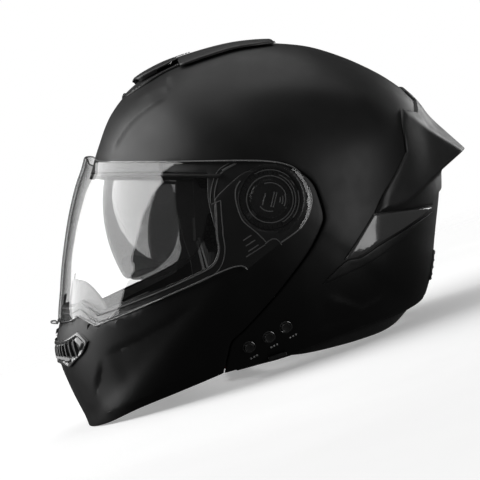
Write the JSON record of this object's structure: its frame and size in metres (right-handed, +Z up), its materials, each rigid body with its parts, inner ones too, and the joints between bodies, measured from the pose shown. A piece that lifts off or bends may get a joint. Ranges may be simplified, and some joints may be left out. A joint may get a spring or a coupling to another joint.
{
  "type": "modular flip-up motorcycle helmet",
  "caption": "Full-face helmet shell with a flip-up chin bar, clear outer visor, drop-down sun visor, padded lining and a rear spoiler.",
  "frame": {"origin": "centre of the bounding box footprint, on the surface that the helmet stands on", "axes": "+Z up as it stands on its chin edge and neck roll, -Y forward, +X the wearer's left"},
  "size_m": [0.2702, 0.3548, 0.2514],
  "materials": {
    "matte_shell": "soft matte paint",
    "satin_black": "satin moulded plastic",
    "gloss_black": "gloss lacquer",
    "dark_mesh": "dark moulded grille",
    "expanded_foam": "grey-black expanded polystyrene beads",
    "lining_fabric": "brushed knit over foam",
    "black_rubber": "extruded rubber",
    "grey_rubber": "soft grey rubber",
    "inner_plastic": "moulded plastic",
    "button_plastic": "satin plastic",
    "steel": "zinc-plated steel",
    "webbing": "woven webbing",
    "red_plastic": "red moulded plastic",
    "clear_visor": "clear polycarbonate",
    "tinted_visor": "smoke-tinted polycarbonate"
  },
  "bodies": {
    "shell": {"outer_shell": "matte_shell", "foam_liner": "expanded_foam", "cheek_foam_left": "expanded_foam", "cheek_foam_right": "expanded_foam", "crown_liner": "lining_fabric", "cheek_pad_left": "lining_fabric", "cheek_pad_right": "lining_fabric", "speaker_left": "inner_plastic", "speaker_right": "inner_plastic", "neck_roll": "lining_fabric", "rim_trim": "black_rubber", "brow_seal": "black_rubber", "gloss_panel_left": "gloss_black", "gloss_panel_right": "gloss_black", "side_vent_left": "dark_mesh", "side_vent_right": "dark_mesh", "rear_spoiler": "satin_black", "rear_exhaust": "satin_black", "top_vent_base": "satin_black", "pivot_bolt_left": "steel", "pivot_bolt_right": "steel", "latch_pin_left": "steel", "latch_pin_right": "steel", "intercom_module": "inner_plastic", "chin_strap_left": "webbing", "chin_strap_right": "webbing", "buckle_body": "inner_plastic"},
    "vent_scoop": {"top_vent_scoop": "satin_black"},
    "button_front": {"button_front": "button_plastic"},
    "button_middle": {"button_middle": "button_plastic"},
    "button_rear": {"button_rear": "button_plastic"},
    "sun_visor": {"sun_visor": "tinted_visor"},
    "sun_lever": {"sun_visor_lever": "satin_black"},
    "buckle_lever": {"buckle_lever": "red_plastic"},
    "chin_bar": {"chin_bar_shell": "matte_shell", "chin_foam": "expanded_foam", "port_seal": "grey_rubber", "breath_deflector": "grey_rubber", "chin_vent_frame": "gloss_black", "chin_vent_grille": "dark_mesh", "visor_gear_left": "inner_plastic", "visor_gear_right": "inner_plastic"},
    "visor": {"visor_shield": "clear_visor", "visor_hub_left": "inner_plastic", "visor_hub_right": "inner_plastic"},
    "release_button": {"release_button": "red_plastic"},
    "latch_left": {"latch_hook_left": "steel"},
    "latch_right": {"latch_hook_right": "steel"},
    "quick_release_left": {"quick_release_left": "button_plastic"},
    "quick_release_right": {"quick_release_right": "button_plastic"}
  },
  "joints": [
    {"name": "chin_bar_hinge", "type": "hinge", "parent": "shell", "child": "chin_bar", "pos_m": [0, 0.00012, 0.12661], "axis": [-1, 0, 0], "range_deg": [0, 78]},
    {"name": "visor_hinge", "type": "hinge", "parent": "chin_bar", "child": "visor", "pos_m": [0, 0.00012, 0.12661], "axis": [1, 0, 0], "range_deg": [-48, 0]},
    {"name": "sun_visor_hinge", "type": "hinge", "parent": "shell", "child": "sun_visor", "pos_m": [0, 0.00012, 0.12661], "axis": [-1, 0, 0], "range_deg": [0, 40]},
    {"name": "sun_lever_slide", "type": "slide", "parent": "shell", "child": "sun_lever", "axis": [0, 1, -0.007], "range_m": [0, 0.0141]},
    {"name": "button_front_press", "type": "slide", "parent": "shell", "child": "button_front", "axis": [-0.8948, 0.1173, 0.4307], "range_m": [0, 0.001], "stiffness_N_per_m": 500},
    {"name": "button_middle_press", "type": "slide", "parent": "shell", "child": "button_middle", "axis": [-0.9079, 0.08, 0.4114], "range_m": [0, 0.001], "stiffness_N_per_m": 500},
    {"name": "button_rear_press", "type": "slide", "parent": "shell", "child": "button_rear", "axis": [-0.9159, 0.0244, 0.4006], "range_m": [0, 0.001], "stiffness_N_per_m": 500},
    {"name": "top_vent_slide", "type": "slide", "parent": "shell", "child": "vent_scoop", "axis": [0, 0.9891, 0.1473], "range_m": [0, 0.003]},
    {"name": "buckle_lever_hinge", "type": "hinge", "parent": "shell", "child": "buckle_lever", "pos_m": [0.027, -0.05803, 0.00884], "axis": [0, -0.9489, 0.3156], "range_deg": [0, 40], "stiffness_Nm_per_rad": 0.05},
    {"name": "release_press", "type": "slide", "parent": "chin_bar", "child": "release_button", "axis": [0, 0.3156, 0.9489], "range_m": [0, 0.004], "stiffness_N_per_m": 400},
    {"name": "latch_hook_left_hinge", "type": "hinge", "parent": "chin_bar", "child": "latch_left", "pos_m": [0.09244, -0.0879, 0.04102], "axis": [-1, 0, 0], "range_deg": [0, 28.5]},
    {"name": "latch_hook_right_hinge", "type": "hinge", "parent": "chin_bar", "child": "latch_right", "pos_m": [-0.09244, -0.0879, 0.04102], "axis": [-1, 0, 0], "range_deg": [0, 28.5]},
    {"name": "quick_release_left_hinge", "type": "hinge", "parent": "chin_bar", "child": "quick_release_left", "pos_m": [0.1281, -0.01189, 0.11901], "axis": [1, 0, 0], "range_deg": [0, 15], "stiffness_Nm_per_rad": 0.01},
    {"name": "quick_release_right_hinge", "type": "hinge", "parent": "chin_bar", "child": "quick_release_right", "pos_m": [-0.1281, -0.01189, 0.11901], "axis": [1, 0, 0], "range_deg": [0, 15], "stiffness_Nm_per_rad": 0.01}
  ],
  "couplings": [
    {"joint": "sun_lever_slide", "follows": "sun_visor_hinge", "m_per_rad": 0.02},
    {"joint": "latch_hook_left_hinge", "follows": "release_press", "rad_per_m": 122.2},
    {"joint": "latch_hook_right_hinge", "follows": "release_press", "rad_per_m": 122.2}
  ]
}
